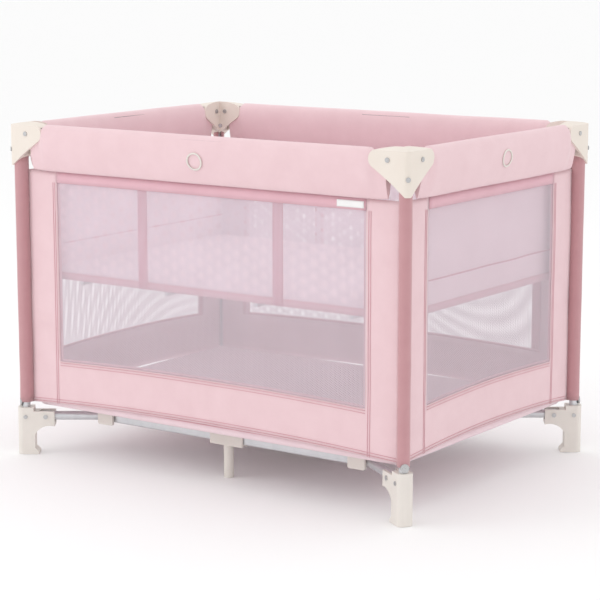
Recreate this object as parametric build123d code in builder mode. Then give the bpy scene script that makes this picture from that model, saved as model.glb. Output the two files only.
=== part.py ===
from build123d import *
import os
from math import atan2, cos, degrees, hypot, sin

os.makedirs("parts", exist_ok=True)

# A folding travel play yard, in millimetres. The origin is on the floor at the centre of the
# footprint, +X runs along the long side, +Y to the back and +Z up. Four legs carry four top
# rails that break in the middle, and a cross of base arms that meets in a central hub.

# Driving dimensions
LEG_X = 502.0             # leg axis, from the centre along X
LEG_Y = 362.0             # leg axis, from the centre along Y
TOP_Z = 750.0             # top of the corner caps
RAIL_Z = TOP_Z - 24.0     # axis of the top rails and of their pivots
BASE_Z = 86.0             # axis of the base arms, side rails and their pivots

# Tubes
LEG_R = 9.5
RAIL_R = 8.5
ARM_R = 10.0
TUBE_WALL = 1.2
SIDE_RAIL_W = 12.0
SIDE_RAIL_H = 18.0
GROOVE_WIDTH = 4.0        # groove along each face of a side rail
GROOVE_DEPTH = 0.6

# Clearances
FIT = 0.1                 # tube in its socket
PIN_FIT = 0.05            # rivet in its hole, all round
SWING = 0.7               # turning tube end to the wall of its slot
SOFT_GAP = 2.0            # soft piece to the frame

# Corner caps
CAP_HALF = 17.0           # half thickness of a lobe
CAP_REACH = 76.0          # end of a lobe, from the leg axis
CAP_TIP_Z = TOP_Z - 95.0
RAIL_PIVOT = 32.0         # rail pivot, from the leg axis
RAIL_END = 10.0           # rail tube past its pivot
RIVET_R = 3.0
RIVET_HEAD_R = 5.0
RIVET_HEAD_H = 2.0
CAP_SLOT = 2 * RAIL_R + 4.0
RAIL_SWING = hypot(RAIL_END, RAIL_R) + SWING
CORNER_ROUND = 12.0
CAP_SCREW_Z = TOP_Z - 60.0
SCREW_R = 2.5

# Rail latches
LATCH_LONG = 56.0         # pivots from the latch centre, long sides
LATCH_SHORT = 45.0        # pivots from the latch centre, short sides
LATCH_WALL = 3.0
LATCH_REACH = 12.0        # housing past its pivots
BUTTON = (23.0, 11.0)
BUTTON_LIP = 3.0
BUTTON_GAP = 0.5
BUTTON_TRAVEL = 4.0

# Feet
FOOT_HALF = 17.0
FOOT_PIVOT = 45.0         # base arm pivot, from the leg axis
FOOT_END = 65.0
FOOT_TOP = BASE_Z + 12.0
FOOT_COLLAR_Z = FOOT_TOP + 9.0
LEG_BOTTOM = 30.0
ARM_END = 8.0
ARM_SLOT = 2 * ARM_R + 1.0
ARM_SWING = hypot(ARM_END, ARM_R) + SWING
SNAP_Z = FOOT_COLLAR_Z + 11.0
SNAP_R = 9.0

# Base geometry: the arms share the fold angle of the top rails, so their length in plan is the
# same as that of the rail halves in X and Y.
FOLD_X = LEG_X - RAIL_PIVOT - LATCH_LONG
FOLD_Y = LEG_Y - RAIL_PIVOT - LATCH_SHORT
ARM_ANGLE = atan2(FOLD_Y, FOLD_X)
ARM_LENGTH = hypot(FOLD_X, FOLD_Y)
ALONG = Vector(-cos(ARM_ANGLE), -sin(ARM_ANGLE), 0)
ACROSS = Vector(-sin(ARM_ANGLE), cos(ARM_ANGLE), 0)
ARM_START = Vector(LEG_X, LEG_Y, BASE_Z) + ALONG * FOOT_PIVOT
HUB_PIVOT = ARM_START + ALONG * ARM_LENGTH
HUB_MARGIN = 15.0
HUB_POST_R = 14.0
HUB_FLOOR_R = 18.0
PLATE = 6.0

# Knee clips and side rails
KNEE = 133.0              # along the arm from its foot pivot
CLIP_DX = 28.0            # side rail pivot towards the centre from the knee
CLIP_DY = 8.0             # side rail pivot outwards from the knee
CLIP_HALF_H = 15.0
CLIP_PLATE = 6.5
CLIP_GAP = 1.3
CLIP_BOSS_R = 4.5
SMALL_PIN_R = 2.5
SIDE_END = 6.0
KNEE_POINT = ARM_START + ALONG * KNEE
SIDE_Y = KNEE_POINT.Y + CLIP_DY
SIDE_PIVOT_X = KNEE_POINT.X - CLIP_DX
SIDE_HUB_X = SIDE_PIVOT_X - (FOLD_X - KNEE * cos(ARM_ANGLE))
SIDE_HUB_HALF = 44.0
SIDE_HUB_WALL = 5.5
SIDE_SWING = hypot(SIDE_END, SIDE_RAIL_H / 2) + SWING
SIDE_POST_R = 11.0

# Soft parts
WALL_T = 3.0
WALL_INSET = 10.0         # wall panel inside the leg axes
WALL_BOTTOM = 119.0
COVER_BOTTOM = TOP_Z - 105.0
COVER_TOP = TOP_Z - 2.0
COVER_HALF = 22.0
COVER_SHOULDER = COVER_TOP - 26.0
FLOOR_Z = BASE_Z + 24.0
FLOOR_T = 26.0
BASSINET_INSET = 27.0     # bassinet wall inside the leg axes
BASSINET_BOTTOM = 404.0
BASSINET_TOP = COVER_BOTTOM - 5.0
BASSINET_T = 3.0
PAD_T = 15.0
PAD_GAP = 4.0
ROD_R = 5.0
ROD_SHARES = (-0.75, -0.25, 0.25, 0.75)

CORNERS = {"front_left": (-1, -1), "front_right": (1, -1), "back_right": (1, 1), "back_left": (-1, 1)}
SIDES = {"front": -1, "back": 1}
ENDS = {"left": -1, "right": 1}


def save(piece, name):
    """Label one finished piece and write it."""
    piece.part.label = name
    export_step(piece.part, f"parts/{name}.step")


def placed(shape, sx, sy):
    """The piece of the back right quarter, carried to the quarter given by its signs."""
    if sx < 0:
        shape = shape.mirror(Plane.YZ)
    if sy < 0:
        shape = shape.mirror(Plane.XZ)
    return shape


def rod_plane(start, direction):
    return Plane(origin=start, z_dir=direction)


def across_plane(point, direction, half):
    """Plane whose normal is the pin's direction, half the pin's length before the point."""
    return Plane(origin=Vector(point) - Vector(direction) * half, z_dir=direction)


# Quarter planes: u runs inwards from the leg axis and v is the height.
LONG_PLANE = Plane(origin=(LEG_X, LEG_Y, 0), x_dir=(-1, 0, 0), z_dir=(0, 1, 0))
SHORT_PLANE = Plane(origin=(LEG_X, LEG_Y, 0), x_dir=(0, -1, 0), z_dir=(-1, 0, 0))
ARM_PLANE = Plane(origin=(LEG_X, LEG_Y, 0), x_dir=ALONG, z_dir=ACROSS)
DIAGONAL = Vector(1, 1, 0).normalized()

# Leg tubes: plain round tube from the foot socket up into the cap.
LEG_TOP = RAIL_Z - 11.0
with BuildPart() as leg_tube:
    with BuildSketch(Plane.XY.offset(LEG_BOTTOM)):
        with Locations((LEG_X, LEG_Y)):
            Circle(LEG_R)
            Circle(LEG_R - TUBE_WALL, mode=Mode.SUBTRACT)
    extrude(amount=LEG_TOP - LEG_BOTTOM)
    with BuildSketch(across_plane((LEG_X, LEG_Y, BASE_Z), ACROSS, 2 * LEG_R)):
        Circle(SCREW_R + PIN_FIT)
    extrude(amount=4 * LEG_R, mode=Mode.SUBTRACT)

# Corner caps: two lobes at a right angle that meet in a pointed tip, with a slot under each
# lobe where the rail tube swings down.
with BuildSketch() as lobe:
    with BuildLine():
        ThreePointArc((-CAP_HALF, TOP_Z - 6), (30, TOP_Z), (62, TOP_Z - 5))
        ThreePointArc((62, TOP_Z - 5), (CAP_REACH, TOP_Z - 19), (70, TOP_Z - 38))
        ThreePointArc((70, TOP_Z - 38), (34, TOP_Z - 62), (-8, CAP_TIP_Z))
        Polyline((-8, CAP_TIP_Z), (-CAP_HALF, CAP_TIP_Z), (-CAP_HALF, TOP_Z - 6))
    make_face()
with BuildPart() as cap:
    for plane in (LONG_PLANE, SHORT_PLANE):
        with BuildSketch(plane):
            add(lobe.sketch)
        extrude(amount=CAP_HALF, both=True)
    # each lobe's outline also trims the other lobe, which leaves the pointed tip on the corner
    for plane in (LONG_PLANE, SHORT_PLANE):
        with BuildSketch(plane):
            add(lobe.sketch)
        extrude(amount=2 * CAP_REACH, both=True, mode=Mode.INTERSECT)
    outer = cap.edges().filter_by(Axis.Z).group_by(SortBy.DISTANCE)[-1]
    fillet(outer, radius=CORNER_ROUND)
    for plane in (LONG_PLANE, SHORT_PLANE):
        low = CAP_TIP_Z - 10
        with BuildSketch(plane):
            with Locations(((RAIL_PIVOT - RAIL_SWING + CAP_REACH + 10) / 2, (low + RAIL_Z + RAIL_SWING) / 2)):
                Rectangle(CAP_REACH + 10 - RAIL_PIVOT + RAIL_SWING, RAIL_Z + RAIL_SWING - low)
        extrude(amount=CAP_SLOT / 2, both=True, mode=Mode.SUBTRACT)
        with BuildSketch(plane):
            with Locations((RAIL_PIVOT, RAIL_Z)):
                Circle(RIVET_R + PIN_FIT)
        extrude(amount=CAP_HALF + 1, both=True, mode=Mode.SUBTRACT)
    with BuildSketch(Plane.XY.offset(CAP_TIP_Z - 1)):
        with Locations((LEG_X, LEG_Y)):
            Circle(LEG_R + FIT)
    extrude(amount=LEG_TOP - CAP_TIP_Z + 1, mode=Mode.SUBTRACT)
    with BuildSketch(across_plane((LEG_X, LEG_Y, CAP_SCREW_Z), DIAGONAL, 2 * CAP_HALF)):
        Circle(SCREW_R + PIN_FIT)
    extrude(amount=4 * CAP_HALF, mode=Mode.SUBTRACT)
    inner_seat = Vector(LEG_X, LEG_Y, CAP_SCREW_Z) - DIAGONAL * CAP_HALF * 2**0.5
    with BuildSketch(rod_plane(inner_seat, DIAGONAL * -1)):
        Circle(RIVET_HEAD_R + PIN_FIT)
    extrude(amount=CAP_HALF, mode=Mode.SUBTRACT)

# Feet: a column under the leg with a bracket that holds the base arm between two cheeks.
with BuildPart() as foot:
    with BuildSketch(ARM_PLANE):
        with BuildLine():
            Polyline((20, 44), (20, 14), (29, 5), (29, 0), (-18, 0), (-18, FOOT_COLLAR_Z), (18, FOOT_COLLAR_Z),
                     (18, FOOT_TOP), (FOOT_END, FOOT_TOP), (FOOT_END, BASE_Z - 22))
            ThreePointArc((FOOT_END, BASE_Z - 22), (33, BASE_Z - 27), (20, 44))
        make_face()
    extrude(amount=FOOT_HALF, both=True)
    heel = foot.edges().filter_by(Axis.Z).group_by(SortBy.LENGTH)[-1]
    fillet(heel, radius=CORNER_ROUND)
    slot_back = FOOT_PIVOT - ARM_SWING
    slot_low = BASE_Z - ARM_SWING
    with BuildSketch(ARM_PLANE):
        with Locations(((slot_back + FOOT_END + 5) / 2, (slot_low + FOOT_COLLAR_Z + 5) / 2)):
            Rectangle(FOOT_END + 5 - slot_back, FOOT_COLLAR_Z + 5 - slot_low)
    extrude(amount=ARM_SLOT / 2, both=True, mode=Mode.SUBTRACT)
    with BuildSketch(ARM_PLANE):
        with Locations((FOOT_PIVOT, BASE_Z)):
            Circle(RIVET_R + PIN_FIT)
        with Locations((0, BASE_Z)):
            Circle(SCREW_R + PIN_FIT)
    extrude(amount=FOOT_HALF + 1, both=True, mode=Mode.SUBTRACT)
    with BuildSketch(Plane.XY.offset(LEG_BOTTOM)):
        with Locations((LEG_X, LEG_Y)):
            Circle(LEG_R + FIT)
    extrude(amount=FOOT_COLLAR_Z, mode=Mode.SUBTRACT)


def add_rivet(point, direction, half, radius):
    """Shank with a head on each end, centred on the point."""
    with BuildSketch(across_plane(point, direction, half)) as shank:
        Circle(radius)
    extrude(shank.sketch, amount=2 * half)
    for end in (-half - RIVET_HEAD_H, half):
        with BuildSketch(Plane(origin=Vector(point) + Vector(direction) * end, z_dir=direction)) as head:
            Circle(radius + RIVET_HEAD_R - RIVET_R)
        extrude(head.sketch, amount=RIVET_HEAD_H)


# Fasteners of one leg: rail pivots, foot rivets, cap screws and the snap that ends the sleeve.
with BuildPart() as leg_fasteners:
    add_rivet((LEG_X - RAIL_PIVOT, LEG_Y, RAIL_Z), (0, 1, 0), CAP_HALF, RIVET_R)
    add_rivet((LEG_X, LEG_Y - RAIL_PIVOT, RAIL_Z), (1, 0, 0), CAP_HALF, RIVET_R)
    add_rivet(ARM_START, ACROSS, FOOT_HALF, RIVET_R)
    add_rivet((LEG_X, LEG_Y, BASE_Z), ACROSS, FOOT_HALF, SCREW_R)
    corner_out = CAP_HALF * 2**0.5 - CORNER_ROUND * (2**0.5 - 1)
    corner_in = CAP_HALF * 2**0.5
    for turn, reach in ((1, corner_out), (-1, corner_in)):
        start = Vector(LEG_X, LEG_Y, CAP_SCREW_Z) + DIAGONAL * turn * (LEG_R + FIT)
        with BuildSketch(rod_plane(start, DIAGONAL * turn)):
            Circle(SCREW_R)
        extrude(amount=reach - LEG_R - FIT + RIVET_HEAD_H)
        seat = Vector(LEG_X, LEG_Y, CAP_SCREW_Z) + DIAGONAL * turn * reach
        with BuildSketch(rod_plane(seat, DIAGONAL * turn)):
            Circle(RIVET_HEAD_R)
        extrude(amount=RIVET_HEAD_H)
    snap = Vector(LEG_X, LEG_Y, SNAP_Z) + DIAGONAL * (LEG_R + FIT)
    with BuildSketch(rod_plane(snap, DIAGONAL)):
        Circle(SNAP_R)
    extrude(amount=4.0)

for corner, (sx, sy) in CORNERS.items():
    for name, master in (("leg_tube", leg_tube), ("corner_cap", cap), ("foot", foot), ("leg_fasteners", leg_fasteners)):
        with BuildPart() as piece:
            add(placed(master.part, sx, sy))
        save(piece, f"{name}_{corner}")


# Top rail halves: round tube between the cap pivot and the latch pivot.
def rail_half(start, direction, across, pivots):
    """Hollow tube from start along direction, with a cross hole at each pivot distance."""
    with BuildPart() as tube:
        with BuildSketch(rod_plane(start, direction)):
            Circle(RAIL_R)
            Circle(RAIL_R - TUBE_WALL, mode=Mode.SUBTRACT)
        extrude(amount=pivots[-1] + RAIL_END)
        for pivot in pivots:
            with BuildSketch(across_plane(Vector(start) + Vector(direction) * pivot, across, 2 * RAIL_R)):
                Circle(RIVET_R + PIN_FIT)
            extrude(amount=4 * RAIL_R, mode=Mode.SUBTRACT)
    return tube.part


RAIL_START = RAIL_PIVOT - RAIL_END
long_half = rail_half((LEG_X - RAIL_START, LEG_Y, RAIL_Z), (-1, 0, 0), (0, 1, 0), (RAIL_END, RAIL_END + FOLD_X))
short_half = rail_half((LEG_X, LEG_Y - RAIL_START, RAIL_Z), (0, -1, 0), (1, 0, 0), (RAIL_END, RAIL_END + FOLD_Y))
for side, sy in SIDES.items():
    for end, sx in ENDS.items():
        with BuildPart() as piece:
            add(placed(long_half, sx, sy))
        save(piece, f"{side}_rail_tube_{end}")
        with BuildPart() as piece:
            add(placed(short_half, sx, sy))
        save(piece, f"{end}_rail_tube_{side}")


# Latch housings: a channel open at the top, whose middle block holds the release button.
LATCH_FLOOR = RAIL_Z - RAIL_SWING
LATCH_TOP = RAIL_Z + 12.0
BUTTON_BOTTOM = LATCH_FLOOR - LATCH_WALL - 5.0
POCKET_LOW = LATCH_FLOOR + 0.5
POCKET_HIGH = POCKET_LOW + BUTTON_LIP + BUTTON_TRAVEL + 2.0


def latch_plane(centre, x_dir, z):
    return Plane(origin=(centre[0], centre[1], z), x_dir=x_dir, z_dir=(0, 0, 1))


def latch_housing(centre, x_dir, pivot):
    across = Vector(0, 0, 1).cross(Vector(x_dir))
    with BuildPart() as housing:
        with BuildSketch(latch_plane(centre, x_dir, LATCH_FLOOR - LATCH_WALL)):
            RectangleRounded(2 * (pivot + LATCH_REACH), CAP_SLOT + 2 * LATCH_WALL, 3)
        extrude(amount=LATCH_TOP - LATCH_FLOOR + LATCH_WALL)
        with BuildSketch(latch_plane(centre, x_dir, LATCH_FLOOR)):
            block = 2 * (pivot - RAIL_SWING)
            Rectangle(2 * (pivot + LATCH_REACH) + 2, CAP_SLOT)
            Rectangle(block, CAP_SLOT, mode=Mode.SUBTRACT)
        extrude(amount=LATCH_TOP - LATCH_FLOOR + 1, mode=Mode.SUBTRACT)
        with BuildSketch(latch_plane(centre, x_dir, LATCH_FLOOR - LATCH_WALL)):
            Rectangle(BUTTON[0] + 2 * BUTTON_GAP, BUTTON[1] + 2 * BUTTON_GAP)
        extrude(amount=LATCH_WALL + 1, mode=Mode.SUBTRACT)
        with BuildSketch(latch_plane(centre, x_dir, POCKET_LOW)):
            Rectangle(BUTTON[0] + 2 * (BUTTON_LIP + BUTTON_GAP), BUTTON[1] + 2 * (BUTTON_LIP + BUTTON_GAP))
        extrude(amount=POCKET_HIGH - POCKET_LOW, mode=Mode.SUBTRACT)
        for turn in (-1, 1):
            point = Vector(centre[0], centre[1], RAIL_Z) + Vector(x_dir) * turn * pivot
            with BuildSketch(across_plane(point, across, CAP_SLOT / 2 + LATCH_WALL)):
                Circle(RIVET_R)
            extrude(amount=CAP_SLOT + 2 * LATCH_WALL)
    return housing.part


def latch_button(centre, x_dir):
    with BuildPart() as button:
        with BuildSketch(latch_plane(centre, x_dir, BUTTON_BOTTOM)):
            RectangleRounded(BUTTON[0], BUTTON[1], 3)
        extrude(amount=POCKET_LOW + 0.3 - BUTTON_BOTTOM)
        with BuildSketch(latch_plane(centre, x_dir, POCKET_LOW + 0.3)):
            Rectangle(BUTTON[0] + 2 * BUTTON_LIP, BUTTON[1] + 2 * BUTTON_LIP)
        extrude(amount=BUTTON_LIP)
    return button.part


LATCHES = {
    "front": ((0, -LEG_Y), (1, 0, 0), LATCH_LONG),
    "back": ((0, LEG_Y), (1, 0, 0), LATCH_LONG),
    "left": ((-LEG_X, 0), (0, 1, 0), LATCH_SHORT),
    "right": ((LEG_X, 0), (0, 1, 0), LATCH_SHORT),
}
for side, (centre, x_dir, pivot) in LATCHES.items():
    with BuildPart() as piece:
        add(latch_housing(centre, x_dir, pivot))
    save(piece, f"{side}_latch_housing")
    with BuildPart() as piece:
        add(latch_button(centre, x_dir))
    save(piece, f"{side}_latch_button")

# Base arms: round tube from the foot bracket to the central hub, drilled for the knee pin.
with BuildPart() as arm:
    with BuildSketch(rod_plane(ARM_START - ALONG * ARM_END, ALONG)):
        Circle(ARM_R)
        Circle(ARM_R - TUBE_WALL, mode=Mode.SUBTRACT)
    extrude(amount=ARM_LENGTH + 2 * ARM_END)
    for distance in (0, KNEE, ARM_LENGTH):
        with BuildSketch(across_plane(ARM_START + ALONG * distance, ACROSS, 2 * ARM_R)):
            Circle(RIVET_R + PIN_FIT)
        extrude(amount=4 * ARM_R, mode=Mode.SUBTRACT)

# Knee clips: a plate outside the side rail, with a boss and pin into the arm and a pin for
# the side rail.
PLATE_Y = SIDE_Y + SIDE_RAIL_W / 2 + CLIP_GAP
BOSS_START = ARM_R + SWING
BOSS_LENGTH = (PLATE_Y + CLIP_PLATE / 2 - KNEE_POINT.Y) / ACROSS.Y - BOSS_START
CLIP_OUT = KNEE_POINT.X + ((PLATE_Y - KNEE_POINT.Y) * ACROSS.Y - ARM_R - SWING) / sin(ARM_ANGLE)
CLIP_IN = SIDE_PIVOT_X - 11.0
with BuildPart() as clip:
    with BuildSketch(Plane(origin=(0, PLATE_Y + CLIP_PLATE, BASE_Z), x_dir=(1, 0, 0), z_dir=(0, -1, 0))):
        with Locations(((CLIP_IN + CLIP_OUT) / 2, 0)):
            RectangleRounded(CLIP_OUT - CLIP_IN, 2 * CLIP_HALF_H, 4)
    extrude(amount=CLIP_PLATE)
    with BuildSketch(rod_plane(KNEE_POINT + ACROSS * BOSS_START, ACROSS)):
        Circle(CLIP_BOSS_R)
    extrude(amount=BOSS_LENGTH)
    with BuildSketch(across_plane(KNEE_POINT, ACROSS, ARM_R + SWING)):
        Circle(RIVET_R)
    extrude(amount=2 * (ARM_R + SWING))
    with BuildSketch(Plane(origin=(SIDE_PIVOT_X, PLATE_Y + 1, BASE_Z), z_dir=(0, -1, 0))):
        Circle(SMALL_PIN_R)
    extrude(amount=SIDE_RAIL_W + CLIP_GAP + 1.5)

# Side rails: flattened tube between the knee clip and the side hub.
SIDE_SECTION = Plane(origin=(SIDE_PIVOT_X + SIDE_END, SIDE_Y, BASE_Z), x_dir=(0, 1, 0), z_dir=(-1, 0, 0))
with BuildPart() as side_rail:
    with BuildSketch(SIDE_SECTION):
        RectangleRounded(SIDE_RAIL_W, SIDE_RAIL_H, 4)
        RectangleRounded(SIDE_RAIL_W - 2 * TUBE_WALL, SIDE_RAIL_H - 2 * TUBE_WALL, 4 - TUBE_WALL, mode=Mode.SUBTRACT)
        with Locations((-SIDE_RAIL_W / 2, 0), (SIDE_RAIL_W / 2, 0)):
            Rectangle(2 * GROOVE_DEPTH, GROOVE_WIDTH, mode=Mode.SUBTRACT)
    extrude(amount=SIDE_PIVOT_X - SIDE_HUB_X + 2 * SIDE_END)
    for x in (SIDE_PIVOT_X, SIDE_HUB_X):
        with BuildSketch(across_plane((x, SIDE_Y, BASE_Z), (0, 1, 0), SIDE_RAIL_W)):
            Circle(SMALL_PIN_R + PIN_FIT)
        extrude(amount=2 * SIDE_RAIL_W, mode=Mode.SUBTRACT)

for corner, (sx, sy) in CORNERS.items():
    for name, master in (("base_arm", arm), ("knee_clip", clip), ("base_side_rail", side_rail)):
        with BuildPart() as piece:
            add(placed(master.part, sx, sy))
        save(piece, f"{name}_{corner}")

# Central hub: a block with a slot for each arm, open below, on a post that stands on the floor.
HUB_ROOF = BASE_Z + ARM_SWING
with BuildPart() as hub:
    with BuildSketch(Plane.XY.offset(BASE_Z - 12)):
        RectangleRounded(2 * (HUB_PIVOT.X + HUB_MARGIN), 2 * (HUB_PIVOT.Y + HUB_MARGIN), 8)
    extrude(amount=HUB_ROOF + PLATE - BASE_Z + 12)
    for sx, sy in CORNERS.values():
        along = Vector(ALONG.X * sx, ALONG.Y * sy, 0)
        middle = Vector(HUB_PIVOT.X * sx, HUB_PIVOT.Y * sy, 0) + along * (ARM_SWING - 40)
        with BuildSketch(Plane(origin=(middle.X, middle.Y, BASE_Z - 13), x_dir=along, z_dir=(0, 0, 1))):
            Rectangle(80, ARM_SLOT)
        extrude(amount=HUB_ROOF - BASE_Z + 13, mode=Mode.SUBTRACT)
    for sx, sy in CORNERS.values():
        pivot = (HUB_PIVOT.X * sx, HUB_PIVOT.Y * sy, BASE_Z)
        across = Vector(ACROSS.X * sx, ACROSS.Y * sy, 0)
        with BuildSketch(across_plane(pivot, across, ARM_SLOT / 2 + 2)):
            Circle(RIVET_R)
        extrude(amount=ARM_SLOT + 4)
    with BuildSketch():
        Circle(HUB_POST_R)
    extrude(amount=BASE_Z)
    with BuildSketch():
        Circle(HUB_FLOOR_R)
    extrude(amount=PLATE)
save(hub, "central_hub")

# Side hubs: a short block that joins the two side rails, on its own small foot.
for side, sy in SIDES.items():
    with BuildPart() as side_hub:
        roof = BASE_Z + SIDE_SWING
        low = BASE_Z - 14
        with BuildSketch(Plane.XY.offset(low)):
            with Locations((0, sy * SIDE_Y)):
                RectangleRounded(2 * SIDE_HUB_HALF, SIDE_RAIL_W + 1 + 2 * SIDE_HUB_WALL, 4)
        extrude(amount=roof + 4 - low)
        slot_in = SIDE_HUB_X - SIDE_SWING
        for turn in (-1, 1):
            with BuildSketch(Plane.XY.offset(low - 1)):
                with Locations((turn * (slot_in + SIDE_HUB_HALF + 1) / 2, sy * SIDE_Y)):
                    Rectangle(SIDE_HUB_HALF + 1 - slot_in, SIDE_RAIL_W + 1)
            extrude(amount=roof - low + 1, mode=Mode.SUBTRACT)
            with BuildSketch(across_plane((turn * SIDE_HUB_X, sy * SIDE_Y, BASE_Z), (0, 1, 0), SIDE_RAIL_W / 2 + 2)):
                Circle(SMALL_PIN_R)
            extrude(amount=SIDE_RAIL_W + 4)
        with BuildSketch():
            with Locations((0, sy * SIDE_Y)):
                Circle(SIDE_POST_R)
        extrude(amount=BASE_Z)
    save(side_hub, f"side_hub_{side}")


# Rail covers: padded sleeve of teardrop section round each rail, hollow for the tubes.
def cover_sketch(plane):
    with BuildSketch(plane) as outline:
        with BuildLine():
            ThreePointArc((-COVER_HALF, COVER_SHOULDER), (0, COVER_TOP), (COVER_HALF, COVER_SHOULDER))
            ThreePointArc((COVER_HALF, COVER_SHOULDER), (COVER_HALF - 4, COVER_SHOULDER - 42), (2, COVER_BOTTOM))
            Line((2, COVER_BOTTOM), (-2, COVER_BOTTOM))
            ThreePointArc((-2, COVER_BOTTOM), (4 - COVER_HALF, COVER_SHOULDER - 42), (-COVER_HALF, COVER_SHOULDER))
        make_face()
        hollow_low = BUTTON_BOTTOM - SOFT_GAP
        hollow_high = LATCH_TOP + SOFT_GAP
        with Locations((0, (hollow_low + hollow_high) / 2)):
            Rectangle(CAP_SLOT + 2 * LATCH_WALL + 2 * SOFT_GAP, hollow_high - hollow_low, mode=Mode.SUBTRACT)
    return outline.sketch


COVER_END = CAP_REACH + SOFT_GAP
for side, sy in SIDES.items():
    with BuildPart() as cover:
        section = cover_sketch(Plane(origin=(0, sy * LEG_Y, 0), x_dir=(0, 1, 0), z_dir=(1, 0, 0)))
        extrude(section, amount=LEG_X - COVER_END, both=True)
    save(cover, f"{side}_rail_cover")
for end, sx in ENDS.items():
    with BuildPart() as cover:
        section = cover_sketch(Plane(origin=(sx * LEG_X, 0, 0), x_dir=(-1, 0, 0), z_dir=(0, 1, 0)))
        extrude(section, amount=LEG_Y - COVER_END, both=True)
    save(cover, f"{end}_rail_cover")


def slab(x, y, low, high):
    """Box centred at the middle of the yard, between two heights."""
    with BuildSketch(Plane.XY.offset(low)) as outline:
        Rectangle(2 * x, 2 * y)
    extrude(outline.sketch, amount=high - low)


# Wall panels: fabric and mesh between the legs.
WALL_TOP = COVER_BOTTOM - 1.0
WALL_END = LEG_R + 6.0
for side, sy in SIDES.items():
    with BuildPart() as wall:
        with BuildSketch(Plane.XY.offset(WALL_BOTTOM)):
            with Locations((0, sy * (LEG_Y - WALL_INSET))):
                Rectangle(2 * (LEG_X - WALL_END), WALL_T)
        extrude(amount=WALL_TOP - WALL_BOTTOM)
    save(wall, f"{side}_wall")
for end, sx in ENDS.items():
    with BuildPart() as wall:
        with BuildSketch(Plane.XY.offset(WALL_BOTTOM)):
            with Locations((sx * (LEG_X - WALL_INSET), 0)):
                Rectangle(WALL_T, 2 * (LEG_Y - WALL_END))
        extrude(amount=WALL_TOP - WALL_BOTTOM)
    save(wall, f"{end}_wall")

# Floor mattress: a folding padded board that lies on the hub inside the walls.
FLOOR_MARGIN = WALL_END + WALL_T + SOFT_GAP
with BuildPart() as floor:
    slab(LEG_X - FLOOR_MARGIN, LEG_Y - FLOOR_MARGIN, FLOOR_Z, FLOOR_Z + FLOOR_T)
save(floor, "floor_mattress")

# Bassinet: a fabric tray that hangs inside the top rails, with its own pad and rods.
BASSINET_X = LEG_X - BASSINET_INSET
BASSINET_Y = LEG_Y - BASSINET_INSET
with BuildPart() as bassinet:
    slab(BASSINET_X, BASSINET_Y, BASSINET_BOTTOM, BASSINET_TOP)
    with BuildSketch(Plane.XY.offset(BASSINET_BOTTOM + BASSINET_T)):
        Rectangle(2 * (BASSINET_X - BASSINET_T), 2 * (BASSINET_Y - BASSINET_T))
    extrude(amount=BASSINET_TOP - BASSINET_BOTTOM, mode=Mode.SUBTRACT)
save(bassinet, "bassinet")

with BuildPart() as pad:
    low = BASSINET_BOTTOM + BASSINET_T
    slab(BASSINET_X - BASSINET_T - PAD_GAP, BASSINET_Y - BASSINET_T - PAD_GAP, low, low + PAD_T)
save(pad, "bassinet_mattress")

with BuildPart() as rods:
    for share in ROD_SHARES:
        with BuildSketch(Plane(origin=(share * BASSINET_X, 0, BASSINET_BOTTOM - ROD_R), z_dir=(0, 1, 0))):
            Circle(ROD_R)
        extrude(amount=BASSINET_Y - PAD_GAP, both=True)
save(rods, "bassinet_rods")
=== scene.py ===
from math import cos, pi, radians, sin

import bmesh
import bpy
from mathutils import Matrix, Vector, noise


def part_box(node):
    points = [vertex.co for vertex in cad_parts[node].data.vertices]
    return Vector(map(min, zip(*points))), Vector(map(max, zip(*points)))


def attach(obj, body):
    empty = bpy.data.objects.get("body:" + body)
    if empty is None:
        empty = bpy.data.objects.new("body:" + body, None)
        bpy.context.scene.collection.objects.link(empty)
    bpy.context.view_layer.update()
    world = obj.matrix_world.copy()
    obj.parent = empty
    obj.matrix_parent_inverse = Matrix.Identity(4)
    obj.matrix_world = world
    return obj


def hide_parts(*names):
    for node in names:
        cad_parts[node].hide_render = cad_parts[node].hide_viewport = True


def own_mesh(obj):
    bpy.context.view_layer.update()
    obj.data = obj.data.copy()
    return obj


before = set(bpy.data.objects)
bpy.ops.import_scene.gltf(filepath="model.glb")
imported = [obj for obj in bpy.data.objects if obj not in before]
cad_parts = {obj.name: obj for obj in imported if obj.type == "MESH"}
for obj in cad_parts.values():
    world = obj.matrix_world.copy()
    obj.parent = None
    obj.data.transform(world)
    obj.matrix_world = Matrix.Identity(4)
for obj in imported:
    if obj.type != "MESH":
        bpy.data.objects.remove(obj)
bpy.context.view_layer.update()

# ---------------------------------------------------------------------------------------------
# Camera: a long lens from the front right, a little above the top rails, looking slightly down
# past the front right corner. All lengths in this file are metres.
camera_data = bpy.data.cameras.new("studio_camera")
camera_data.lens = 120.5
camera_data.sensor_width = 36.0
camera = bpy.data.objects.new("studio_camera", camera_data)
bpy.context.scene.collection.objects.link(camera)
camera.location = (2.543, -3.633, 1.139)
turn, tilt = radians(35.0), radians(10.1)
sight = Vector((-sin(turn) * cos(tilt), cos(turn) * cos(tilt), -sin(tilt)))
camera.rotation_euler = sight.to_track_quat("-Z", "Y").to_euler()
bpy.context.scene.camera = camera

# ---------------------------------------------------------------------------------------------
# Studio: a white sweep of paper for a floor, an even white surround, a large soft light on the
# left, a weaker one on the right and a broad one overhead.
bpy.context.scene.view_settings.view_transform = "Standard"


def shader_material(name, **sockets):
    """New material with a Principled shader whose constant sockets are set by name."""
    material = bpy.data.materials.new(name)
    material.use_nodes = True
    shader = material.node_tree.nodes["Principled BSDF"]
    for socket, value in sockets.items():
        shader.inputs[socket.replace("_", " ")].default_value = value
    return material, material.node_tree, shader


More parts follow.
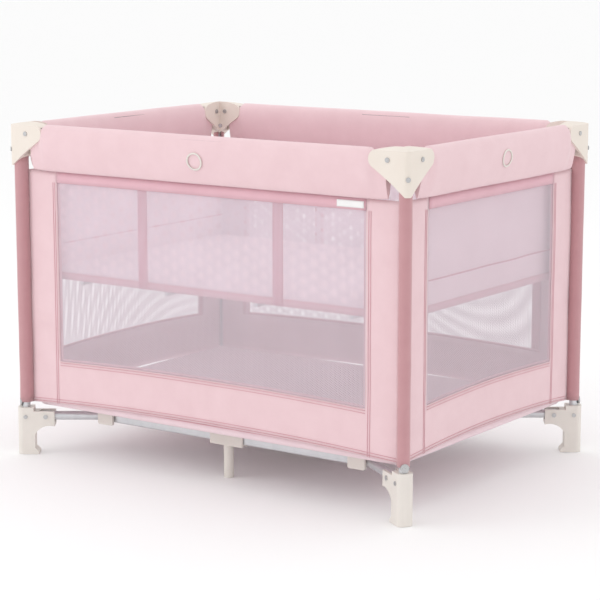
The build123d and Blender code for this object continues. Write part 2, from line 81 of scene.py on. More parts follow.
def piece_from(bm, name, material=None):
    """Turn a finished bmesh into a smooth-shaded object at the origin."""
    mesh = bpy.data.meshes.new(name)
    bm.to_mesh(mesh)
    bm.free()
    for polygon in mesh.polygons:
        polygon.use_smooth = True
    if material:
        mesh.materials.append(material)
    piece = bpy.data.objects.new(name, mesh)
    bpy.context.scene.collection.objects.link(piece)
    return piece


paper, _, paper_shader = shader_material("studio_paper", Roughness=0.9)
paper_shader.inputs["Base Color"].default_value = (0.97, 0.97, 0.97, 1)
bm = bmesh.new()
bmesh.ops.create_grid(bm, x_segments=2, y_segments=2, size=60)
floor_sheet = piece_from(bm, "studio_floor", paper)
floor_sheet.location.z = -0.0005

world = bpy.data.worlds.new("studio_world")
world.use_nodes = True
world.node_tree.nodes["Background"].inputs["Color"].default_value = (1, 1, 1, 1)
world.node_tree.nodes["Background"].inputs["Strength"].default_value = 1.0
bpy.context.scene.world = world


def soft_light(name, place, target, size, power, colour=(1, 1, 1)):
    light_data = bpy.data.lights.new(name, "AREA")
    light_data.shape = "RECTANGLE"
    light_data.size, light_data.size_y = size
    light_data.energy = power
    light_data.color = colour
    light = bpy.data.objects.new(name, light_data)
    bpy.context.scene.collection.objects.link(light)
    light.location = place
    aim = Vector(target) - Vector(place)
    light.rotation_euler = aim.to_track_quat("-Z", "Y").to_euler()


soft_light("softbox_left", (-2.6, -3.2, 2.2), (0, 0, 0.4), (2.4, 2.4), 24)
soft_light("softbox_right", (3.6, 1.0, 2.0), (0, 0, 0.4), (2.0, 2.4), 3)
soft_light("softbox_top", (0, 0.6, 3.4), (0, 0, 0.2), (3.0, 3.0), 8)

# ---------------------------------------------------------------------------------------------
# Frame tubes: drawn steel with a silver powder finish, on the legs, rails, arms and rods. Fine
# drawing lines and a faint mottle break up the reflections.


def node_group(name, inputs, outputs):
    """New shader group with float inputs {name: default} and outputs {name: socket type}."""
    group = bpy.data.node_groups.new(name, "ShaderNodeTree")
    for socket, value in inputs.items():
        made = group.interface.new_socket(socket, in_out="INPUT", socket_type="NodeSocketFloat")
        made.default_value = value
    for socket, kind in outputs.items():
        group.interface.new_socket(socket, in_out="OUTPUT", socket_type=kind)
    start = group.nodes.new("NodeGroupInput")
    end = group.nodes.new("NodeGroupOutput")
    return group, start, end


def maths(tree, operation, first, second=None):
    """Math node whose operands are sockets or plain numbers."""
    node = tree.nodes.new("ShaderNodeMath")
    node.operation = operation
    for socket, value in zip(node.inputs, (first, second)):
        if value is None:
            continue
        if isinstance(value, (int, float)):
            socket.default_value = value
        else:
            tree.links.new(value, socket)
    return node.outputs[0]


def noise_field(tree, scale, detail=2.0, rough=0.5, stretch=(1, 1, 1)):
    """Noise on Object coordinates, in metres, optionally stretched along an axis."""
    where = tree.nodes.new("ShaderNodeTexCoord")
    mapping = tree.nodes.new("ShaderNodeMapping")
    mapping.inputs["Scale"].default_value = stretch
    field = tree.nodes.new("ShaderNodeTexNoise")
    field.inputs["Detail"].default_value = detail
    field.inputs["Roughness"].default_value = rough
    if isinstance(scale, (int, float)):
        field.inputs["Scale"].default_value = scale
    else:
        tree.links.new(scale, field.inputs["Scale"])
    tree.links.new(where.outputs["Object"], mapping.inputs["Vector"])
    tree.links.new(mapping.outputs["Vector"], field.inputs["Vector"])
    return field.outputs["Fac"]


def map_range(tree, value, low, high, to_low, to_high):
    node = tree.nodes.new("ShaderNodeMapRange")
    tree.links.new(value, node.inputs["Value"])
    for socket, number in zip(("From Min", "From Max", "To Min", "To Max"), (low, high, to_low, to_high)):
        node.inputs[socket].default_value = number
    return node.outputs["Result"]


def blend_colours(tree, factor, dark, light):
    """Two colours mixed by a factor socket."""
    ramp = tree.nodes.new("ShaderNodeValToRGB")
    ramp.color_ramp.elements[0].color = (*dark, 1)
    ramp.color_ramp.elements[1].color = (*light, 1)
    tree.links.new(factor, ramp.inputs["Fac"])
    return ramp.outputs["Color"]


def bump(tree, height, distance, shader, strength=0.6):
    node = tree.nodes.new("ShaderNodeBump")
    node.inputs["Distance"].default_value = distance
    node.inputs["Strength"].default_value = strength
    tree.links.new(height, node.inputs["Height"])
    tree.links.new(node.outputs["Normal"], shader.inputs["Normal"])


def metal(name, dark, light, roughness):
    material, tree, shader = shader_material(name, Metallic=0.85, Roughness=roughness)
    mottle = noise_field(tree, 60, 4)
    tree.links.new(blend_colours(tree, mottle, dark, light), shader.inputs["Base Color"])
    tree.links.new(map_range(tree, noise_field(tree, 240, 3), 0.3, 0.7, roughness - 0.05, roughness + 0.08),
                   shader.inputs["Roughness"])
    bump(tree, noise_field(tree, 900, 2), 0.00008, shader)
    return material


silver = metal("silver_tube", (0.60, 0.61, 0.63), (0.74, 0.75, 0.77), 0.34)
plated = metal("plated_steel", (0.42, 0.42, 0.43), (0.62, 0.62, 0.62), 0.28)


def finish_nodes(prefixes, material):
    """Give a material to each CAD node whose name begins with one of the prefixes."""
    for name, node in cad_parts.items():
        if name.startswith(prefixes):
            node.data.materials.clear()
            node.data.materials.append(material)


finish_nodes(("leg_tube", "base_arm", "base_side_rail", "front_rail_tube", "back_rail_tube",
              "left_rail_tube", "right_rail_tube", "bassinet_rods"), silver)
finish_nodes(("leg_fasteners",), plated)

# ---------------------------------------------------------------------------------------------
# Moulded plastic: cream corner caps, beige feet and hubs, grey latches with a red button. Each
# is injection moulded with a fine spark texture and slightly worn, paler edges.
grain, grain_in, grain_out = node_group(
    "moulded_grain", {"Scale": 1500.0, "Wear": 0.3},
    {"Tone": "NodeSocketFloat", "Height": "NodeSocketFloat", "Rough": "NodeSocketFloat"})
fine = noise_field(grain, grain_in.outputs["Scale"], 3)
broad = noise_field(grain, 18, 3)
geometry = grain.nodes.new("ShaderNodeNewGeometry")
edge = map_range(grain, geometry.outputs["Pointiness"], 0.5, 0.6, 0.0, 1.0)
worn = maths(grain, "MULTIPLY", edge, grain_in.outputs["Wear"])
tone = maths(grain, "ADD", map_range(grain, broad, 0.3, 0.7, 0.25, 0.6), worn)
grain.links.new(tone, grain_out.inputs["Tone"])
grain.links.new(fine, grain_out.inputs["Height"])
grain.links.new(map_range(grain, fine, 0.3, 0.7, 0.42, 0.56), grain_out.inputs["Rough"])


def plastic(name, dark, light, wear=0.3):
    material, tree, shader = shader_material(name)
    shader.inputs["Specular IOR Level"].default_value = 0.42
    group = tree.nodes.new("ShaderNodeGroup")
    group.node_tree = grain
    group.inputs["Wear"].default_value = wear
    tree.links.new(blend_colours(tree, group.outputs["Tone"], dark, light), shader.inputs["Base Color"])
    tree.links.new(group.outputs["Rough"], shader.inputs["Roughness"])
    bump(tree, group.outputs["Height"], 0.00006, shader, 0.5)
    return material


cream = plastic("cream_plastic", (0.76, 0.68, 0.60), (0.83, 0.755, 0.685))
beige = plastic("beige_plastic", (0.71, 0.66, 0.61), (0.81, 0.76, 0.71))
grey = plastic("grey_plastic", (0.10, 0.10, 0.11), (0.16, 0.16, 0.17))
red = plastic("red_plastic", (0.5, 0.04, 0.04), (0.62, 0.08, 0.07))
finish_nodes(("foot", "knee_clip", "central_hub", "side_hub"), beige)
finish_nodes(("corner_cap",), cream)
finish_nodes(("front_latch_housing", "back_latch_housing", "left_latch_housing", "right_latch_housing"), grey)
finish_nodes(("front_latch_button", "back_latch_button", "left_latch_button", "right_latch_button"), red)

# ---------------------------------------------------------------------------------------------
# Places read from the frame: the leg axes, the planes of the wall panels and the heights that
# the cloth is cut to.
leg_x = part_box("leg_tube_front_right")[1][0] - 0.0095
leg_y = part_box("leg_tube_back_right")[1][1] - 0.0095
wall_low, wall_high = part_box("front_wall")
wall_end_x = wall_high[0]
wall_end_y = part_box("right_wall")[1][1]
wall_y = (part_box("back_wall")[0][1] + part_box("back_wall")[1][1]) / 2
wall_x = (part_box("right_wall")[0][0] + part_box("right_wall")[1][0]) / 2
hem_z, wall_top_z = wall_low[2], wall_high[2]
corners = {"front_left": (-1, -1), "front_right": (1, -1), "back_right": (1, 1), "back_left": (-1, 1)}
sides = {"front": (0, -1), "back": (0, 1), "left": (-1, 0), "right": (1, 0)}
side_body = {"front": "leg_front_left", "back": "leg_back_left",
             "left": "leg_front_left", "right": "leg_front_right"}


def on_wall(side, along, z, out):
    """Point on a wall: along its length, at a height, and a distance outwards from its plane."""
    sx, sy = sides[side]
    if sy:
        return Vector((along, sy * (wall_y + out), z))
    return Vector((sx * (wall_x + out), along, z))


# ---------------------------------------------------------------------------------------------
# Cloths: a close plain weave for the bands and covers, and a knitted mesh with round holes for
# the windows. Both read Object coordinates, so the threads run level and upright.
weave, weave_in, weave_out = node_group(
    "plain_weave", {"Pitch": 0.0011}, {"Height": "NodeSocketFloat", "Tone": "NodeSocketFloat"})
where = weave.nodes.new("ShaderNodeTexCoord")
split = weave.nodes.new("ShaderNodeSeparateXYZ")
weave.links.new(where.outputs["Object"], split.inputs[0])
level = maths(weave, "ADD", split.outputs["X"], split.outputs["Y"])
thread_turn = maths(weave, "DIVIDE", 2 * pi, weave_in.outputs["Pitch"])
warp = maths(weave, "SINE", maths(weave, "MULTIPLY", level, thread_turn))
weft = maths(weave, "SINE", maths(weave, "MULTIPLY", split.outputs["Z"], thread_turn))
crossing = maths(weave, "MULTIPLY", warp, weft)
slub = noise_field(weave, 22, 4, 0.6)
weave.links.new(maths(weave, "ADD", crossing, slub), weave_out.inputs["Height"])
weave.links.new(maths(weave, "ADD", maths(weave, "MULTIPLY", crossing, 0.16), slub), weave_out.inputs["Tone"])


def cloth(name, dark, light, sheen=0.35, rough=0.82, see_through=0.0):
    material, tree, shader = shader_material(name, Roughness=rough)
    shader.inputs["Sheen Weight"].default_value = sheen
    shader.inputs["Sheen Roughness"].default_value = 0.5
    shader.inputs["Specular IOR Level"].default_value = 0.25
    group = tree.nodes.new("ShaderNodeGroup")
    group.node_tree = weave
    tree.links.new(blend_colours(tree, group.outputs["Tone"], dark, light), shader.inputs["Base Color"])
    bump(tree, group.outputs["Height"], 0.00012, shader, 0.35)
    return material


pink = cloth("pink_cloth", (0.77, 0.545, 0.575), (0.85, 0.63, 0.66))
deep_pink = cloth("deep_pink_binding", (0.66, 0.33, 0.38), (0.75, 0.42, 0.47), 0.2)
strip_pink = cloth("strip_cloth", (0.71, 0.42, 0.48), (0.79, 0.50, 0.56), 0.2)
# Sleeve cloth: the wall pink darkened with painted shade, not a darker dye.
shaded_sleeve_pink = cloth("sleeve_cloth_painted_shade", (0.52, 0.27, 0.29), (0.59, 0.325, 0.345))
soft_pink = cloth("strap_webbing", (0.60, 0.21, 0.28), (0.68, 0.28, 0.35), 0.2)
pad_pink = cloth("pad_cloth", (0.84, 0.645, 0.69), (0.92, 0.74, 0.785), 0.3)
pale_tape = cloth("woven_label_cloth", (0.86, 0.86, 0.85), (0.93, 0.93, 0.92), 0.2)

holes, holes_in, holes_out = node_group(
    "mesh_holes", {"Pitch": 0.0036, "Open": 0.5}, {"Cover": "NodeSocketFloat"})
where = holes.nodes.new("ShaderNodeTexCoord")
split = holes.nodes.new("ShaderNodeSeparateXYZ")
holes.links.new(where.outputs["Object"], split.inputs[0])
level = maths(holes, "ADD", split.outputs["X"], split.outputs["Y"])
hole_turn = maths(holes, "DIVIDE", 4 * pi / 3**0.5, holes_in.outputs["Pitch"])
total = None
for step in range(3):
    angle = step * pi / 3
    across = maths(holes, "ADD", maths(holes, "MULTIPLY", level, cos(angle)),
                   maths(holes, "MULTIPLY", split.outputs["Z"], sin(angle)))
    wave = maths(holes, "COSINE", maths(holes, "MULTIPLY", across, hole_turn))
    total = wave if total is None else maths(holes, "ADD", total, wave)
threshold = maths(holes, "SUBTRACT", 1.5, maths(holes, "MULTIPLY", holes_in.outputs["Open"], 3.0))
depth = maths(holes, "SUBTRACT", total, threshold)
holes.links.new(map_range(holes, depth, -0.35, 0.35, 1.0, 0.0), holes_out.inputs["Cover"])


def mesh_cloth(name, colour, share_open, pitch=0.0036):
    """Knitted mesh: the holes are cut by Alpha."""
    material, tree, shader = shader_material(name, Roughness=0.7)
    shader.inputs["Base Color"].default_value = (*colour, 1)
    shader.inputs["Sheen Weight"].default_value = 0.3
    group = tree.nodes.new("ShaderNodeGroup")
    group.node_tree = holes
    group.inputs["Open"].default_value = share_open
    group.inputs["Pitch"].default_value = pitch
    tone = map_range(tree, noise_field(tree, 14, 3), 0.3, 0.7, 0.0, 1.0)
    tree.links.new(blend_colours(tree, tone, [c * 0.94 for c in colour], colour), shader.inputs["Base Color"])
    tree.links.new(group.outputs["Cover"], shader.inputs["Alpha"])
    bump(tree, group.outputs["Cover"], 0.0002, shader, 0.4)
    return material


window_mesh = mesh_cloth("window_mesh", (0.81, 0.705, 0.775), 0.60)
bassinet_mesh = mesh_cloth("bassinet_mesh", (0.80, 0.685, 0.755), 0.56, 0.0032)

# ---------------------------------------------------------------------------------------------
# Wall panels: each wall is a frame of plain cloth, 80 to 100 mm wide at its ends and arched
# along its hem, sewn round a mesh window, and it hangs between two legs under the rail cover.
window_inset = {"front": 0.082, "back": 0.082, "left": 0.085, "right": 0.085}
hem_rise = 0.014
sill_z = 0.217
strip_low_z = 0.620
cloth_t = 0.0009


def half_length(side):
    return wall_end_x if sides[side][1] else wall_end_y


def hem_at(side, along):
    return hem_z + hem_rise * (1 - (along / half_length(side)) ** 2)


def sill_at(side, along):
    return sill_z + 0.012 * (1 - (along / half_length(side)) ** 2)


def ripple(along, z, seed, size):
    """Slight unevenness of stretched cloth, in metres."""
    return size * noise.noise(Vector((along * 6 + seed, z * 7, seed * 3.1)))


def add_cloth(bm, side, left, right, low, high, columns, rows, out=0.0, size=0.0015, seed=0.0):
    """Grid of cloth between two heights, given as functions of the place along the wall."""
    made = bmesh.ops.create_grid(bm, x_segments=columns, y_segments=rows, size=1)["verts"]
    for vert in made:
        along = left + (right - left) * (vert.co.x + 1) / 2
        share = (vert.co.y + 1) / 2
        z = low(along) + (high(along) - low(along)) * share
        vert.co = on_wall(side, along, z, out + ripple(along, z, seed, size))


def thicken(piece, thickness, offset=0.0):
    solid = piece.modifiers.new("thickness", "SOLIDIFY")
    solid.thickness = thickness
    solid.offset = offset
    return piece


def outwards(bm):
    bmesh.ops.remove_doubles(bm, verts=bm.verts, dist=0.0001)
    bmesh.ops.recalc_face_normals(bm, faces=bm.faces)


def fix(piece, body):
    """Finished piece: it rides on a body."""
    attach(piece, body)
    return piece


def level_line(z):
    return lambda along: z


def bake_modifiers(piece):
    """Apply the modifiers to a new mesh."""
    depsgraph = bpy.context.evaluated_depsgraph_get()
    mesh = bpy.data.meshes.new_from_object(piece.evaluated_get(depsgraph))
    piece.modifiers.clear()
    piece.data = mesh
    return piece


def squash_wall(piece, side):
    """Bake the wall's modifiers into a mesh of its own."""
    bpy.context.view_layer.update()
    bake_modifiers(piece)
    if sides[side][1]:
        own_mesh(piece)
    else:
        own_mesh(piece)


for number, side in enumerate(sides):
    end = half_length(side)
    window = end - window_inset[side]
    hem = lambda along, side=side: hem_at(side, along)
    sill = lambda along, side=side: sill_at(side, along)
    top = level_line(wall_top_z)
    strip = level_line(strip_low_z)
    bm = bmesh.new()
    columns = 60 if sides[side][1] else 42
    add_cloth(bm, side, -window, window, hem, sill, columns, 8, seed=number)
    for turn in (-1, 1):
        inner, outer = sorted((turn * window, turn * end))
        add_cloth(bm, side, inner, outer, hem, sill, 8, 8, seed=number)
        add_cloth(bm, side, inner, outer, sill, top, 8, 40, seed=number)
    outwards(bm)
    band = thicken(piece_from(bm, f"{side}_wall_bands", pink), cloth_t)
    fix(band, side_body[side])
    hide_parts(f"{side}_wall")
    squash_wall(band, side)

    bm = bmesh.new()
    add_cloth(bm, side, -window, window, strip, top, columns, 2, out=0.0012, seed=number)
    outwards(bm)
    tape = thicken(piece_from(bm, f"{side}_top_strip", strip_pink), cloth_t)
    fix(tape, side_body[side])
    squash_wall(tape, side)

    bm = bmesh.new()
    add_cloth(bm, side, -window - 0.004, window + 0.004, sill, strip, columns, 30, out=-0.001, seed=number)
    outwards(bm)
    net = piece_from(bm, f"{side}_window_mesh", window_mesh)
    fix(net, side_body[side])
    squash_wall(net, side)

    # Bindings: folded tape sewn round the window on the inside, with its edge showing, and
    # a fine row of stitches on the outside.
    bm = bmesh.new()
    tape_w = 0.016
    inside = -0.0022
    add_cloth(bm, side, -window - tape_w, window + tape_w, sill, lambda along, s=sill: s(along) + 0.006,
              columns, 1, out=inside, seed=number)
    for turn in (-1, 1):
        inner, outer = sorted((turn * (window - 0.006), turn * (window + tape_w)))
        add_cloth(bm, side, inner, outer, sill, strip, 1, 40, out=inside, seed=number)
    outwards(bm)
    binding = thicken(piece_from(bm, f"{side}_window_binding", deep_pink), cloth_t)
    fix(binding, side_body[side])
    squash_wall(binding, side)

    bm = bmesh.new()
    for height in (0.003, 0.009):
        low_line = lambda along, h=height: hem_at(side, along) + h
        add_cloth(bm, side, -end, end, low_line, lambda along, h=height: hem_at(side, along) + h + 0.0012,
                  columns, 1, out=0.001, seed=number)
    for height in (-0.004, -0.010):
        low_line = lambda along, h=height: sill_at(side, along) + h
        add_cloth(bm, side, -window, window, low_line,
                  lambda along, h=height: sill_at(side, along) + h + 0.0012, columns, 1, out=0.001, seed=number)
    for turn in (-1, 1):
        for gap in (0.006, 0.011):
            inner, outer = sorted((turn * (window + gap), turn * (window + gap + 0.0012)))
            add_cloth(bm, side, inner, outer, hem, strip, 1, 40, out=0.001, seed=number)
    outwards(bm)
    stitch = thicken(piece_from(bm, f"{side}_wall_stitching", deep_pink), 0.0006)
    fix(stitch, side_body[side])
    squash_wall(stitch, side)

# ---------------------------------------------------------------------------------------------
# Leg sleeves: the cloth of two walls meets round each leg in one sewn tube, which is pulled
# tight over the steel and ends just above the foot. Its pink is darker than the walls' pink, with painted
# shade.
sleeve_r = 0.0128
sleeve_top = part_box("corner_cap_front_right")[0][2] + 0.02
for corner, (sx, sy) in corners.items():
    bm = bmesh.new()
    outline = [Vector((wall_end_x, wall_y, 0))]
    arc_steps = 14
    for step in range(arc_steps + 1):
        angle = radians(150) - radians(210) * step / arc_steps
        outline.append(Vector((leg_x + sleeve_r * cos(angle), leg_y + sleeve_r * sin(angle), 0)))
    outline.append(Vector((wall_x, wall_end_y, 0)))
    ring = [bm.verts.new((p.x * sx, p.y * sy, hem_z)) for p in outline]
    edges = [bm.edges.new(pair) for pair in zip(ring, ring[1:])]
    rows = 30
    rise = (sleeve_top - hem_z) / rows
    for row in range(rows):
        made = bmesh.ops.extrude_edge_only(bm, edges=edges)["geom"]
        raised = [item for item in made if isinstance(item, bmesh.types.BMVert)]
        edges = [item for item in made if isinstance(item, bmesh.types.BMEdge)]
        bmesh.ops.translate(bm, verts=raised, vec=(0, 0, rise))
    for vert in bm.verts:
        swell = 0.0006 * noise.noise(vert.co * 14)
        away = Vector((vert.co.x - sx * leg_x, vert.co.y - sy * leg_y, 0))
        if away.length > 0:
            vert.co += away.normalized() * swell
    outwards(bm)
    sleeve = thicken(piece_from(bm, f"leg_sleeve_{corner}", shaded_sleeve_pink), cloth_t)
    fix(sleeve, f"leg_{corner}")

# ---------------------------------------------------------------------------------------------
# Rail covers: quilted cloth over a foam wrap, teardrop in section, sewn shut underneath along
# the wall. Each is in two halves, one on each half rail, that meet over the latch.
cover_low, cover_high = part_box("front_rail_cover")
cover_half = (cover_high[1] - cover_low[1]) / 2
cover_top, cover_bottom = cover_high[2], cover_low[2]


def teardrop(share):
    """Closed outline of the cover: (outwards, height), from the bottom seam round the outside."""
    angle = 2 * pi * share
    bulge = sin(angle / 2) ** 0.85
    out = cover_half * 1.02 * sin(angle) * (0.55 + 0.45 * bulge) * (1.0 if share < 0.5 else 0.94)
    height = cover_bottom + (cover_top - cover_bottom) * (0.5 - 0.5 * cos(angle)) ** 0.8
    return out, height


cover_ends = {side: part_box(f"{side}_rail_cover")[1][0 if sides[side][1] else 1] + 0.004 for side in sides}
halves = {
    "front": (("left", -1, "front_rail_left"), ("right", 1, "front_rail_right")),
    "back": (("left", -1, "back_rail_left"), ("right", 1, "back_rail_right")),
    "left": (("front", -1, "left_rail_front"), ("back", 1, "left_rail_back")),
    "right": (("front", -1, "right_rail_front"), ("back", 1, "right_rail_back")),
}
ring_count = 36
tucked = 0.034           # cover past its visible end, under the lobe of the cap
tucked_half = 0.0148     # half thickness there
tucked_top = 0.735
for number, (side, pair) in enumerate(halves.items()):
    for label, turn, body in pair:
        bm = bmesh.new()
        length = cover_ends[side] + tucked
        leg_line = (leg_y - wall_y) if sides[side][1] else (leg_x - wall_x)
        verts = []
        for step in range(ring_count):
            out, height = teardrop(step / ring_count)
            verts.append(bm.verts.new(on_wall(side, 0, height, leg_line + out)))
        edges = [bm.edges.new((verts[i], verts[(i + 1) % ring_count])) for i in range(ring_count)]
        inner_ring = edges
        columns = 56 if sides[side][1] else 40
        for column in range(columns):
            made = bmesh.ops.extrude_edge_only(bm, edges=edges)["geom"]
            moved = [item for item in made if isinstance(item, bmesh.types.BMVert)]
            edges = [item for item in made if isinstance(item, bmesh.types.BMEdge)]
            shift = turn * length / columns
            bmesh.ops.translate(bm, verts=moved, vec=(shift, 0, 0) if sides[side][1] else (0, shift, 0))
        middle = (cover_top + cover_bottom) / 2
        for vert in bm.verts:
            along = vert.co.x if sides[side][1] else vert.co.y
            axis_point = on_wall(side, along, middle, leg_line)
            away = vert.co - axis_point
            near_end = max(0.0, 1 - (length - abs(along)) / 0.05)
            wave = 0.0011 * noise.noise(Vector((along * 5, vert.co.z * 9, number * 7.3)))
            pucker = 0.0016 * near_end * noise.noise(Vector((along * 20, vert.co.z * 60, number)))
            narrow = -0.0022 * near_end**2
            vert.co += away.normalized() * (wave + pucker + narrow - 0.0006)
            inside_cap = min(1.0, max(0.0, (abs(along) - cover_ends[side] + 0.006) / 0.014))
            slim = 1 + (tucked_half / cover_half - 1) * inside_cap
            spread = vert.co - axis_point
            spread.x, spread.y = spread.x * slim, spread.y * slim
            vert.co = axis_point + spread
            vert.co.z -= inside_cap * max(0.0, vert.co.z - tucked_top)
        for ring in (inner_ring, edges):
            bmesh.ops.edgeloop_fill(bm, edges=ring)
            for edge in ring:
                edge.smooth = False
        bmesh.ops.recalc_face_normals(bm, faces=bm.faces)
        cover = piece_from(bm, f"{side}_cover_{label}", pink)
        fix(cover, body)
        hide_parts(f"{side}_rail_cover")
        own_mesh(cover)

# ---------------------------------------------------------------------------------------------
# Trim on the covers: a plain oval ring in the middle of the front and right covers, and a blank
# woven label on the strip below the front one. The rings follow the bulge of the cover.
outline = [teardrop(step / 400) for step in range(201)]


def bulge_at(z):
    return min(outline, key=lambda point: abs(point[1] - z))[0]


ring_half_w, ring_half_h = 0.018, 0.017
ring_cord = 0.0014       # half thickness of the ring's cord
ring_lift = 0.0012       # cord above the cloth
for side, ring_z, body in (("front", 0.694, "front_rail_right"), ("right", 0.700, "right_rail_front")):
    bm = bmesh.new()
    leg_line = (leg_y - wall_y) if sides[side][1] else (leg_x - wall_x)
    loops = []
    for step in range(48):
        angle = 2 * pi * step / 48
        loop = []
        for turn in range(8):
            swing = 2 * pi * turn / 8
            reach = 1 + 0.12 * cos(swing)
            z = ring_z + ring_half_h * reach * sin(angle)
            out = leg_line + bulge_at(z) + ring_lift + ring_cord * sin(swing)
            loop.append(bm.verts.new(on_wall(side, ring_half_w * reach * cos(angle), z, out)))
        loops.append([bm.edges.new((loop[i], loop[(i + 1) % 8])) for i in range(8)])
    for first, second in zip(loops, loops[1:] + loops[:1]):
        bmesh.ops.bridge_loops(bm, edges=first + second)
    outwards(bm)
    fix(piece_from(bm, f"{side}_cover_ring", beige), body)

bm = bmesh.new()
for vert in bmesh.ops.create_grid(bm, x_segments=16, y_segments=4, size=1)["verts"]:
    vert.co = on_wall("front", 0.369 + 0.032 * vert.co.x, 0.6315 + 0.007 * vert.co.y, 0.0035)
tag = thicken(piece_from(bm, "front_woven_label", pale_tape), 0.0008)
fix(tag, side_body["front"])
squash_wall(tag, "front")

# ---------------------------------------------------------------------------------------------
# Floor mattress: a foam-padded board in a quilted cover, with a piped edge, on the base frame.
pad_low, pad_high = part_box("floor_mattress")


def padded_board(name, low, high, material, crown, dimple, columns, rows, seed):
    """Board with rounded edges and a slightly uneven, crowned top."""
    bm = bmesh.new()
    bmesh.ops.create_cube(bm, size=1)
    size = Vector(high) - Vector(low)
    middle = (Vector(high) + Vector(low)) / 2
    bmesh.ops.scale(bm, verts=bm.verts, vec=size)
    bmesh.ops.bevel(bm, geom=bm.edges[:], offset=size.z * 0.42, segments=3, affect="EDGES",
                    profile=0.5, material=-1)
    for count, axis in ((columns, 0), (rows, 1)):
        for step in range(1, count):
            normal = Vector((1, 0, 0)) if axis == 0 else Vector((0, 1, 0))
            place = normal * (size[axis] * (step / count - 0.5))
            bmesh.ops.bisect_plane(bm, geom=bm.verts[:] + bm.edges[:] + bm.faces[:],
                                   plane_co=place, plane_no=normal)
    for vert in bm.verts:
        u = vert.co.x / size.x
        v = vert.co.y / size.y
        if vert.co.z > 0:
            edge = (1 - (2 * u) ** 6) * (1 - (2 * v) ** 6)
            soft = dimple * noise.noise(Vector((vert.co.x * 7, vert.co.y * 7, seed)))
            folds = 0.5 * dimple * noise.noise(Vector((vert.co.x * 16, vert.co.y * 5, seed + 5)))
            vert.co.z += edge * (crown + soft + folds)
        vert.co += middle
    outwards(bm)
    return piece_from(bm, name, material)


floor_pad = padded_board("floor_mattress_pad", pad_low, pad_high, pad_pink, -0.003, 0.004, 64, 44, 2.0)
fix(floor_pad, "hub")
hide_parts("floor_mattress")
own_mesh(floor_pad)


def piping_loop(name, half_x, half_y, z, radius, material, body):
    """Corded edge: a thin rolled tube round a rectangle with rounded corners."""
    bm = bmesh.new()
    corner = 0.03
    points = []
    for cx, cy, begin in ((1, 1, 0), (-1, 1, 90), (-1, -1, 180), (1, -1, 270)):
        for step in range(7):
            angle = radians(begin + 15 * step)
            points.append(Vector((cx * (half_x - corner) + corner * cos(angle),
                                  cy * (half_y - corner) + corner * sin(angle), z)))
    dense = []
    for first, second in zip(points, points[1:] + points[:1]):
        pieces = max(1, int((second - first).length / 0.02))
        dense += [first.lerp(second, i / pieces) for i in range(pieces)]
    rings = []
    for index, point in enumerate(dense):
        ahead = (dense[(index + 1) % len(dense)] - dense[index - 1]).normalized()
        side_way = ahead.cross(Vector((0, 0, 1)))
        ring = []
        for step in range(8):
            angle = 2 * pi * step / 8
            upwards = Vector((0, 0, radius * sin(angle)))
            ring.append(bm.verts.new(point + side_way * radius * cos(angle) + upwards))
        rings.append([bm.edges.new((ring[i], ring[(i + 1) % 8])) for i in range(8)])
    for first, second in zip(rings, rings[1:] + rings[:1]):
        bmesh.ops.bridge_loops(bm, edges=first + second)
    outwards(bm)
    piece = piece_from(bm, name, material)
    fix(piece, body)
    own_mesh(piece)
    return piece


piping_loop("floor_mattress_piping", pad_high[0] - 0.0005, pad_high[1] - 0.0005, pad_high[2] - 0.006, 0.003,
            deep_pink, "hub")

# ---------------------------------------------------------------------------------------------
# Bassinet: a cloth tray hung from the top rails. Its long walls are mesh with two webbing
# straps, its end walls are cloth with a seam, and a bound band runs round its bottom edge.
tray_low, tray_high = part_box("bassinet")
tray_x, tray_y = tray_high[0] - 0.0015, tray_high[1] - 0.0015
tray_bottom, tray_top = tray_low[2], tray_high[2]
band_top = tray_bottom + 0.016
seam_z = tray_bottom + 0.066
strap_half = 0.0125
strap_x = 0.178
tray_body = "bassinet_set"


def tray_squash(piece):
    bpy.context.view_layer.update()
    bake_modifiers(piece)
    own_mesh(piece)


def tray_cloth(bm, side, left, right, low, high, columns, rows, out=0.0, size=0.002, seed=0.0):
    """Grid of cloth on a wall of the tray."""
    made = bmesh.ops.create_grid(bm, x_segments=columns, y_segments=rows, size=1)["verts"]
    sx, sy = sides[side]
    for vert in made:
        along = left + (right - left) * (vert.co.x + 1) / 2
        z = low + (high - low) * (vert.co.y + 1) / 2
        offset = out + ripple(along * 1.6, z * 1.4, seed, size)
        vert.co = (along, sy * (tray_y + offset), z) if sy else (sx * (tray_x + offset), along, z)


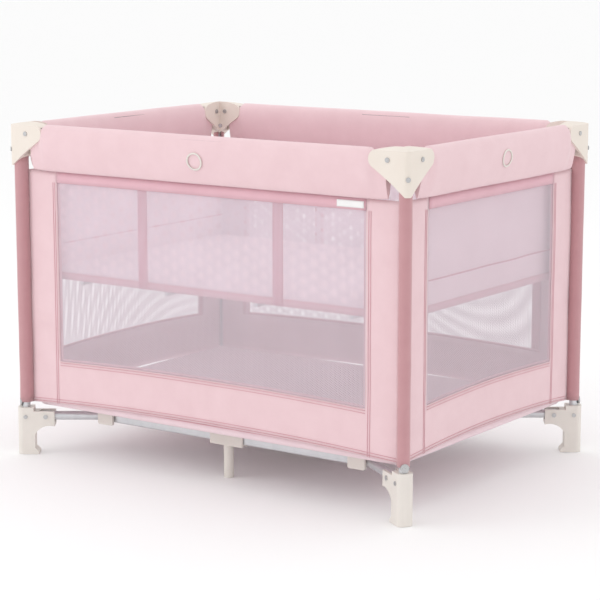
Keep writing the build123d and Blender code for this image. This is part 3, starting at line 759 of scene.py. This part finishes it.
for number, side in enumerate(("front", "back")):
    bm = bmesh.new()
    tray_cloth(bm, side, -tray_x, tray_x, band_top, tray_top, 70, 18, seed=number + 4)
    outwards(bm)
    net = piece_from(bm, f"bassinet_{side}_mesh", bassinet_mesh)
    fix(net, tray_body)
    tray_squash(net)
    for label, place in (("left", -strap_x), ("right", strap_x)):
        bm = bmesh.new()
        tray_cloth(bm, side, place - strap_half, place + strap_half, tray_bottom, tray_top, 3, 24,
                   out=0.0016, size=0.001)
        outwards(bm)
        strap = thicken(piece_from(bm, f"bassinet_{side}_strap_{label}", soft_pink), 0.0016)
        fix(strap, tray_body)
        tray_squash(strap)
for number, side in enumerate(("left", "right")):
    bm = bmesh.new()
    tray_cloth(bm, side, -tray_y, tray_y, tray_bottom, tray_top, 60, 24, size=0.004, seed=number + 9)
    outwards(bm)
    end_wall = thicken(piece_from(bm, f"bassinet_{side}_end", pad_pink), cloth_t)
    fix(end_wall, tray_body)
    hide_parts("bassinet")
    tray_squash(end_wall)
    bm = bmesh.new()
    for out in (-0.0018, 0.0018):
        tray_cloth(bm, side, -tray_y, tray_y, seam_z - 0.0015, seam_z + 0.0015, 60, 1,
                   out=out, size=0.004, seed=number + 9)
    outwards(bm)
    seam = thicken(piece_from(bm, f"bassinet_{side}_seam", soft_pink), 0.0008)
    fix(seam, tray_body)
    tray_squash(seam)
bm = bmesh.new()
for side in sides:
    end = tray_x if sides[side][1] else tray_y
    tray_cloth(bm, side, -end, end, tray_bottom, band_top, 60, 2, out=0.0012, size=0.001)
outwards(bm)
band = thicken(piece_from(bm, "bassinet_bottom_band", deep_pink), 0.0012)
fix(band, tray_body)
tray_squash(band)
bm = bmesh.new()
made = bmesh.ops.create_grid(bm, x_segments=40, y_segments=30, size=1)["verts"]
for vert in made:
    vert.co = (vert.co.x * tray_x, vert.co.y * tray_y, tray_bottom + 0.001)
base = thicken(piece_from(bm, "bassinet_base_cloth", pad_pink), cloth_t)
fix(base, tray_body)
tray_squash(base)

bed_low, bed_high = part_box("bassinet_mattress")
bed = padded_board("bassinet_mattress_pad", bed_low, bed_high, pad_pink, 0.002, 0.009, 72, 50, 6.0)
fix(bed, tray_body)
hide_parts("bassinet_mattress")
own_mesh(bed)
